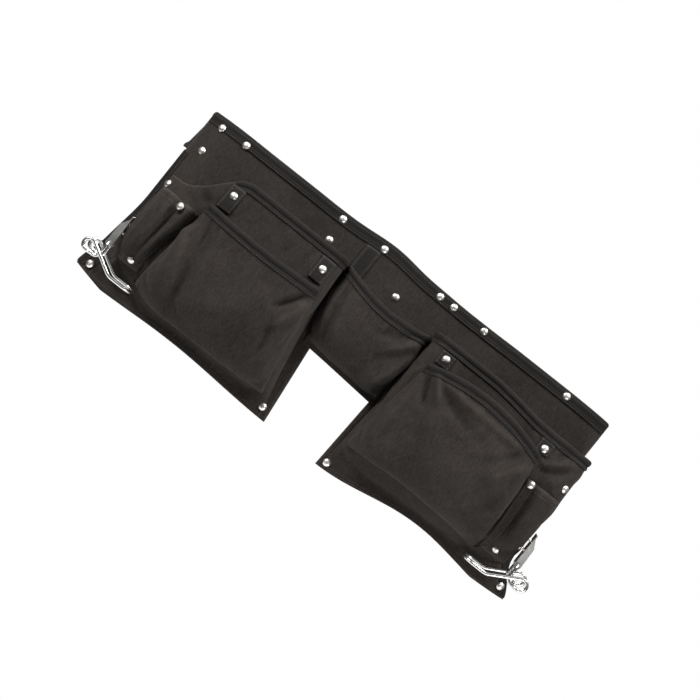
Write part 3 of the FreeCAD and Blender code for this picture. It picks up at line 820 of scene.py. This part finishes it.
def panel_tape(name, profile, place, count, node, stitch_rows):
    """Tape along an edge of the panel; place(i, offset, forward) gives its points."""
    rows = [[place(t, offset, forward) for offset, forward in profile] for t in np.linspace(0, 1, count)]
    obj = soften(grid_object(name, np.array(rows, float), TAPE, loop=True, capped=True))
    sewn = np.linspace(0.005, 0.995, count)
    for offset, forward in stitch_rows:
        line = np.array([place(t, offset, forward) for t in sewn])
        ahead = np.array([place(t, offset, forward + 1.0) for t in sewn])
        thread.sew(line, unit(ahead - line))
    declare_tape(np.array(rows))
    attach(obj, node, slot="binding_tape")


def top_tape():
    def place(t, drop, forward):
        across = mix(-EDGE_ACROSS + 1, EDGE_ACROSS - 1, t)
        wave = 0.25 * noise.noise(Vector((across * 0.03, 0.5, 0)))
        return on_panel(across, drop + wave, forward)

    profile = ((13.2, 0.15), (13.2, 0.9), (12.0, 1.3), (9.5, 1.35), (7.4, 1.3), (6.6, 0.95), (5.8, 1.35),
               (3.0, 1.5), (0.0, 1.4), (-1.4, 0.7), (-1.8, -1.0), (-1.8, -3.6), (-1.3, -5.4), (0.0, -6.1),
               (3.4, -6.0), (3.6, -5.1), (0.3, -4.9), (-0.3, -4.0), (-0.3, -0.6), (0.2, 0.1))
    panel_tape("top_tape", profile, place, 181, "top_binding", ((11.2, 1.35), (2.2, 1.55)))


def edge_tape(name, side, node):
    start, end = TUNNEL_DROP + 1.0, hem_drop(side * EDGE_ACROSS) - 1.0

    def place(t, past, forward):
        drop = mix(start, end, t)
        return on_panel(side * (edge_across(drop, side) + past), drop, forward)

    profile = ((-9.0, 0.15), (-9.0, 0.85), (-8.0, 1.2), (-3.0, 1.3), (0.0, 1.2), (1.3, 0.6), (1.5, -1.2),
               (1.3, -2.6), (0.0, -3.1), (-3.0, -3.1), (-9.0, -3.0), (-9.0, -2.5), (-2.0, -2.5),
               (0.2, -2.45), (0.35, -1.2), (0.2, 0.0))
    panel_tape(name, profile[::side], place, 61, node, ((-7.0, 1.25),))


# Panel and tunnel

def panel_zone(shares_across, inner_x, outer_x, waist, rows_above, rows_below):
    """Points of one part of the panel: down to the waist's drop, and on to the hem where there is one."""
    grid = []
    for row in range(rows_above + rows_below):
        points = []
        for share in shares_across:
            if row < rows_above:
                down = row / (rows_above - 1)
                x = mix(inner_x[0], outer_x, share)
                drop = down * waist(x)
            else:
                down = (row - rows_above + 1) / rows_below
                x = mix(mix(inner_x[0], inner_x[1], down), outer_x, share)
                drop = mix(waist(x), hem_drop(x), down)
            if abs(outer_x) >= EDGE_ACROSS:
                past = edge_across(drop, outer_x) / EDGE_ACROSS
                beyond = max(0.0, abs(x) - FLAT_HALF) / (EDGE_ACROSS - FLAT_HALF)
                x = x * mix(1.0, past, beyond)
            points.append(on_panel(x, drop, 0.12 * noise.noise(Vector((x * 0.04, drop * 0.04, 7)))))
        grid.append(points)
    return np.array(grid)


def back_panel():
    rows_above, rows_below = 40, 26
    left = panel_zone(np.linspace(1, 0, 80), (LEFT_LEG[1], LEFT_LEG[0]), -EDGE_ACROSS,
                      lambda x: CENTRE_BOTTOM[0], rows_above, rows_below)
    middle = panel_zone(np.linspace(0, 1, 30), (LEFT_LEG[1], LEFT_LEG[1]), RIGHT_LEG[1],
                        lambda x: mix(*CENTRE_BOTTOM, (x - LEFT_LEG[1]) / (RIGHT_LEG[1] - LEFT_LEG[1])),
                        rows_above, 0)
    right = panel_zone(np.linspace(0, 1, 80), (RIGHT_LEG[1], RIGHT_LEG[0]), EDGE_ACROSS,
                       lambda x: CENTRE_BOTTOM[1], rows_above, rows_below)
    parts = [grid_object("panel_part", zone, CLOTH) for zone in (left, middle, right)]
    obj = joined(parts, "back_panel_cloth")
    thicken(obj, PANEL_T)
    declare(obj, left, middle, right, held="hung", rests_on=["belt_tunnel_cloth"])
    for side, inner in ((-1, LEFT_LEG), (1, RIGHT_LEG)):
        top, bottom = CENTRE_BOTTOM[side > 0], hem_drop(inner[0]) - 3
        line = np.array([on_panel(mix(inner[1], inner[0], t) + side * 4, mix(top, bottom, t), 0.1)
                         for t in np.linspace(0, 1, 40)])
        thread.sew(line, np.tile((0.0, -1.0, 0.0), (len(line), 1)))
    attach(obj, "back_panel")


def joined(parts, name):
    """Join meshes and weld the points that they share."""
    build = bmesh.new()
    for part in parts:
        build.from_mesh(part.data)
        bpy.data.objects.remove(part)
    bmesh.ops.remove_doubles(build, verts=build.verts, dist=0.05 * MM)
    mesh = bpy.data.meshes.new(name)
    build.to_mesh(mesh)
    build.free()
    return finish_object(name, mesh, CLOTH)


def belt_tunnel():
    """Strip along the panel's back that bulges away from it between two seams, with one slack free end."""
    profile = ((1.0, 2.8), (2.5, 2.8), (4.2, 3.0), (5.6, 6.2), (7.4, 9.6), (10.0, 10.4), (20.0, 10.5),
               (34.0, 10.5), (44.0, 10.4), (46.6, 9.6), (48.4, 6.2), (49.8, 3.0), (51.5, 2.8), (54.0, 2.8))
    rows = []
    for i, across in enumerate(np.linspace(-EDGE_ACROSS - TUNNEL_PAST, EDGE_ACROSS, 150)):
        wave = 0.5 * noise.noise(Vector((i * 0.13, 1.7, 4)))
        past = max(0.0, -across - EDGE_ACROSS)
        slack = 0.8 * ease(past / TUNNEL_PAST)
        rows.append([on_panel(across + past * (0.8 - 0.8 * drop / TUNNEL_DROP), drop,
                              -mix(behind + wave * (behind > 9), 3.2, slack))
                     for drop, behind in profile])
    strip = Cloth(np.array(rows).transpose(1, 0, 2))
    obj = grid_object("belt_tunnel_cloth", strip.points, TUNNEL_CLOTH)
    thicken(obj, 1.8, inward=False)
    soften(obj)
    thread.sew(strip.points[-2] - strip.normals[-2] * 1.95, -strip.normals[-2])
    for column in (1, 2):
        thread.sew(strip.points[:, column] + strip.normals[:, column] * 0.1, strip.normals[:, column])
    declare(obj, strip.points, held="hung", rests_on=["back_panel_cloth"])
    attach(obj, "belt_tunnel", slot="tunnel_fabric")


def centre_strip():
    """Webbing down the panel behind the centre pocket's left end."""
    left, right = STRIP_SIDES
    grid = np.array([[on_panel(x, drop, 1.3) for x in np.linspace(left, right, 8)]
                     for drop in np.linspace(*STRIP_DROPS, 20)])
    obj = grid_object("centre_strip_cloth", grid, WEBBING)
    thicken(obj, 1.1)
    for x in (left + 2.0, right - 2.0):
        line = grid[:, 0].copy()
        line[:, 0] = x
        thread.sew(line, np.tile((0.0, -1.0, 0.0), (len(line), 1)))
    declare(obj, grid, held="laid", rests_on=["back_panel_cloth"])
    attach(obj, "centre_strip", slot="binding_tape")


# Pieces on the pouches

def tool_slots(name, main, edges, humps, node, pocket):
    """A strip sewn to a pouch at the ends of each hump, slack between them, and closed at its foot."""
    size = (46, 61)
    grid = []
    for down in np.linspace(0, 1, size[0]):
        drop = mix(*SLOT_DROPS, down)
        ends = [main.share_at(x, drop) for x in edges(drop)]
        grid.append([main.at_drop(mix(*ends, share), drop)[0] for share in np.linspace(0, 1, size[1])])
    under = Cloth(spread(resampled(np.array(grid), 9, 12), *size))
    down, share = np.meshgrid(np.linspace(0, 1, size[0]), np.linspace(0, 1, size[1]), indexing="ij")
    lift = np.zeros(share.shape)
    for start, end in humps:
        inside = np.clip((share - start) / (end - start), 0.0, 1.0)
        lift += SLOT_SLACK * np.sin(np.pi * inside) ** 1.3 * (1 - down ** 3)
    slots = pushed(under, lift + 2 * LAYER_GAP + SHEET_T)
    slots = pushed(slots, rumple(slots, 26.0, 0.9, 4.0) * pinned(slots, 0.0, 10.0))
    obj = grid_object(name, slots.points, CLOTH)
    thicken(obj, SHEET_T)
    for row in (2, -3, -2):
        thread.sew(slots.points[row] + slots.normals[row] * 0.1, slots.normals[row])
    for share in sorted({end for hump in humps for end in hump} | {0.0}):
        column, normals = slots.column(min(max(share, 0.03), 0.97))
        thread.sew(column[2:], normals[2:])
    declare(obj, slots.points, held="gathered", rests_on=[pocket])
    attach(obj, node)


def tab(name, main, x, top, bottom, node, pocket):
    """Short strip of webbing that lies on a pouch."""
    grid = []
    for drop in np.linspace(top, bottom, 14):
        row = []
        for offset in np.linspace(-TAB_WIDTH / 2, TAB_WIDTH / 2, 10):
            point, normal = main.at_x(x + offset, drop)
            row.append(point + normal * 1.6)
        grid.append(row)
    cloth = Cloth(np.array(grid))
    obj = grid_object(name, cloth.points, WEBBING)
    thicken(obj, 1.1)
    for share in (0.1, 0.9):
        column, normals = cloth.column(share)
        thread.sew(column, normals)
    declare(obj, cloth.points, held="laid", rests_on=[pocket])
    attach(obj, node, slot="tab_webbing")


def sewn_pocket(name, cloth, node, behind):
    obj = grid_object(name, cloth.points, CLOTH)
    thicken(obj, SHEET_T)
    declare(obj, cloth.points, held="gathered", rests_on=[behind])
    attach(obj, node)


def hem_stitches(cloth):
    thread.sew(cloth.points[HEM_ROW] + cloth.normals[HEM_ROW] * 0.1, cloth.normals[HEM_ROW])


def seams_behind(cloth):
    """A pocket's side and hem seams where they come through at the panel's back."""
    for seam in (cloth.points[:, 0], cloth.points[:, -1], cloth.points[HEM_ROW]):
        line, behind = (np.array([on_panel(across_for(x, TOP_Z - z), TOP_Z - z, -PANEL_T - stand)
                                  for x, _, z in seam]) for stand in (0.1, 1.1))
        thread.sew(line, behind - line)


# Assembly

RIVETS = rivet_places("side_rivets", "slot_rivets", "tab_rivets", "corner_rivets")


def pouch_sheet(poles, size, seed, free, folds, cap=4.0):
    """A pocket's cloth with its folds, settled; folds are each (x, drop) to (x, drop), height and width."""
    cloth = cloth_from_poles(poles, *size)
    free = pinned(cloth, *free) * clear_of(cloth, RIVETS)
    push = rumple(cloth, RUMPLE_SIZE, RUMPLE_HEIGHT, seed) + creases(cloth, folds)
    return settled(pushed(cloth, push * free), free, cap)


left_main = pouch_sheet(left_main_poles(), size=(90, 170), seed=1.0, free=(25.0, 22.0), folds=(
    ((-256, 102), (-262, 180), 3.0, 6.0),
    ((-240, 66), (-214, 92), -2.5, 8.0),
    ((-70, 84), (-56, 150), 2.5, 7.0),
    ((-150, 50), (-110, 80), -1.6, 9.0)))
right_main = pouch_sheet(right_main_poles(), size=(90, 170), seed=2.0, free=(25.0, 22.0), folds=(
    ((236, 84), (270, 60), 3.4, 6.0),
    ((238, 92), (272, 74), -3.0, 6.0),
    ((244, 70), (262, 54), -2.4, 5.0),
    ((66, 60), (60, 130), 2.4, 7.0)))
centre = pouch_sheet(centre_poles(), size=(60, 90), seed=3.0, free=(20.0, 12.0), cap=3.0, folds=(
    ((58, 62), (28, 98), 4.2, 5.0),
    ((54, 58), (8, 84), -3.8, 6.0),
    ((60, 74), (40, 140), 4.4, 6.0),
    ((42, 84), (18, 138), -3.2, 8.0),
    ((-44, 62), (-32, 122), -4.6, 6.0),
    ((-52, 66), (-48, 128), 3.0, 4.0)))
left_front = pouch_sheet(left_front_poles(left_main), size=(70, 120), seed=5.0, free=(20.0, 16.0), folds=(
    ((-196, 100), (-180, 196), -8.5, 9.0),
    ((-213, 116), (-202, 184), 4.2, 7.0),
    ((-204, 130), (-198, 170), 2.6, 4.0),
    ((-190, 178), (-172, 206), -3.0, 8.0),
    ((-68, 98), (-92, 132), -5.0, 4.0),
    ((-60, 100), (-78, 150), 4.6, 4.5),
    ((-78, 146), (-72, 180), -3.6, 4.5),
    ((-96, 118), (-154, 192), 3.4, 16.0),
    ((-152, 104), (-120, 150), -2.2, 14.0)))
right_front = pouch_sheet(right_front_poles(right_main), size=(70, 120), seed=6.0, free=(20.0, 16.0), folds=(
    ((88, 74), (112, 102), 5.0, 4.0),
    ((84, 82), (98, 114), -5.0, 5.0),
    ((98, 80), (166, 82), 4.8, 4.5),
    ((160, 82), (212, 84), 3.8, 4.5),
    ((108, 88), (182, 106), -4.2, 8.0),
    ((190, 100), (222, 150), 3.4, 12.0),
    ((226, 96), (200, 132), 3.6, 6.0),
    ((212, 90), (184, 122), -3.4, 6.0),
    ((230, 108), (236, 172), 3.0, 5.0),
    ((76, 112), (70, 186), 2.6, 7.0),
    ((130, 128), (190, 180), 3.0, 20.0)))

for name, cloth, behind in (
        ("left_main", left_main, "back_panel_cloth"),
        ("right_main", right_main, "back_panel_cloth"),
        ("centre", centre, "back_panel_cloth"),
        ("left_front", left_front, "left_main_cloth"),
        ("right_front", right_front, "right_main_cloth")):
    sewn_pocket(name + "_cloth", cloth, name + "_pocket", behind)
    shares = (LEFT_MAIN_TAPE_START, TAPE_SHARES[1]) if name == "left_main" else TAPE_SHARES
    mouth_tape(name + "_tape", cloth, shares, name + "_binding")
top_tape()
edge_tape("left_edge_tape", -1, "left_edge_binding")
edge_tape("right_edge_tape", 1, "right_edge_binding")
back_panel()
belt_tunnel()
centre_strip()
tool_slots("left_slots_cloth", left_main, lambda drop: (-262, step(drop, 100, 190, -215, -230)),
           ((0.0, 0.58), (0.58, 1.0)), "left_tool_slots", "left_main_cloth")
tool_slots("right_slots_cloth", right_main, lambda drop: (step(drop, 100, 190, 237, 243), 277.5),
           ((0.2, 1.0),), "right_tool_slots", "right_main_cloth")
tab("left_outer_tab_webbing", left_main, -198, 54, 84, "left_outer_tab", "left_main_cloth")
tab("left_inner_tab_webbing", left_main, -75, 54, 82, "left_inner_tab", "left_main_cloth")
tab("right_inner_tab_webbing", right_main, 89, 53, 69, "right_inner_tab", "right_main_cloth")
tab("right_outer_tab_webbing", right_main, 230, 60, 75, "right_outer_tab", "right_main_cloth")
for cloth in (left_main, right_main, centre):
    hem_stitches(cloth)
    seams_behind(cloth)
attach(thread.make("stitches", THREAD), slot="binding_tape")

for node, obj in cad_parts.items():
    for ending, metal in (("rivets", NICKEL), ("hammer_loop", CHROME), ("hanger", STEEL)):
        if node.endswith(ending):
            obj.data.materials.clear()
            obj.data.materials.append(metal)
            for polygon in obj.data.polygons:
                polygon.use_smooth = metal is not STEEL


# Floor, light and camera

FLOOR_RADIUS = 1.0
FLOOR_Z = -0.95


def make_floor():
    """Round pale floor, about as far below the pouch as when someone wears it at the waist."""
    build = bmesh.new()
    bmesh.ops.create_circle(build, cap_ends=True, segments=96, radius=FLOOR_RADIUS)
    mesh = bpy.data.meshes.new("floor")
    build.to_mesh(mesh)
    build.free()
    nodes = Nodes("pale_floor")
    grain = nodes.noise(nodes.place(), 30.0)
    nodes.link(nodes.ramp(grain, ((0.3, (0.80, 0.80, 0.79)), (0.7, (0.86, 0.86, 0.85)))),
               nodes.shader.inputs["Base Color"])
    nodes.shader.inputs["Roughness"].default_value = 0.9
    floor = finish_object("floor", mesh, nodes.material)
    floor.location = (0, 0, FLOOR_Z)


def make_world():
    """A white room: plain white to look at, and softer light from the sides and below."""
    world = bpy.data.worlds.new("studio")
    world.use_nodes = True
    tree = world.node_tree
    seen = tree.nodes["Background"]
    seen.inputs["Color"].default_value = (1, 1, 1, 1)
    lit = tree.nodes.new("ShaderNodeBackground")
    height = tree.nodes.new("ShaderNodeSeparateXYZ")
    tree.links.new(tree.nodes.new("ShaderNodeTexCoord").outputs["Generated"], height.inputs[0])
    ramp = tree.nodes.new("ShaderNodeValToRGB")
    ramp.color_ramp.elements[0].color = (0.05, 0.05, 0.05, 1)
    ramp.color_ramp.elements[1].color = (0.5, 0.5, 0.5, 1)
    ramp.color_ramp.elements[1].position = 0.9
    tree.links.new(height.outputs["Z"], ramp.inputs["Fac"])
    tree.links.new(ramp.outputs["Color"], lit.inputs["Color"])
    chosen = tree.nodes.new("ShaderNodeMixShader")
    tree.links.new(tree.nodes.new("ShaderNodeLightPath").outputs["Is Camera Ray"], chosen.inputs["Fac"])
    tree.links.new(lit.outputs[0], chosen.inputs[1])
    tree.links.new(seen.outputs[0], chosen.inputs[2])
    tree.links.new(chosen.outputs[0], tree.nodes["World Output"].inputs["Surface"])
    bpy.context.scene.world = world


ROLL = math.radians(38.6)
RIGHT = Vector((math.cos(ROLL), 0, math.sin(ROLL)))
UP = Vector((-math.sin(ROLL), 0, math.cos(ROLL)))
FRONT = Vector((0, -1, 0))
MIDDLE = Vector((0.002, -0.03, -0.090))
VIEW_WIDTH = 0.756


def studio_light(name, place, size, power):
    """Soft round light; its place is how far right, up and in front of the pouch it is, as seen."""
    data = bpy.data.lights.new(name, "AREA")
    data.shape = "DISK"
    data.size = size
    data.energy = power
    obj = bpy.data.objects.new(name, data)
    bpy.context.scene.collection.objects.link(obj)
    offset = RIGHT * place[0] + UP * place[1] + FRONT * place[2]
    obj.location = MIDDLE + offset
    obj.rotation_mode = "QUATERNION"
    obj.rotation_quaternion = (-offset).to_track_quat("-Z", "Y")


def make_camera():
    """Square-on to the panel and rolled, as the pouch is seen."""
    data = bpy.data.cameras.new("camera")
    data.lens = 85.0
    data.sensor_width = 36.0
    obj = bpy.data.objects.new("camera", data)
    bpy.context.scene.collection.objects.link(obj)
    distance = VIEW_WIDTH * data.lens / data.sensor_width
    turn = Matrix((RIGHT, UP, FRONT)).transposed().to_4x4()
    obj.matrix_world = Matrix.Translation(MIDDLE + FRONT * distance) @ turn
    bpy.context.scene.camera = obj


make_floor()
make_world()
make_camera()
studio_light("key", (-0.3, 1.25, 0.75), 0.5, 25)
studio_light("side", (1.3, 0.65, 0.6), 0.6, 27)
studio_light("low", (0.3, -1.3, 0.9), 0.8, 13)
studio_light("back", (0.3, 1.0, -1.5), 0.8, 26)
bpy.context.scene.view_settings.view_transform = "Standard"
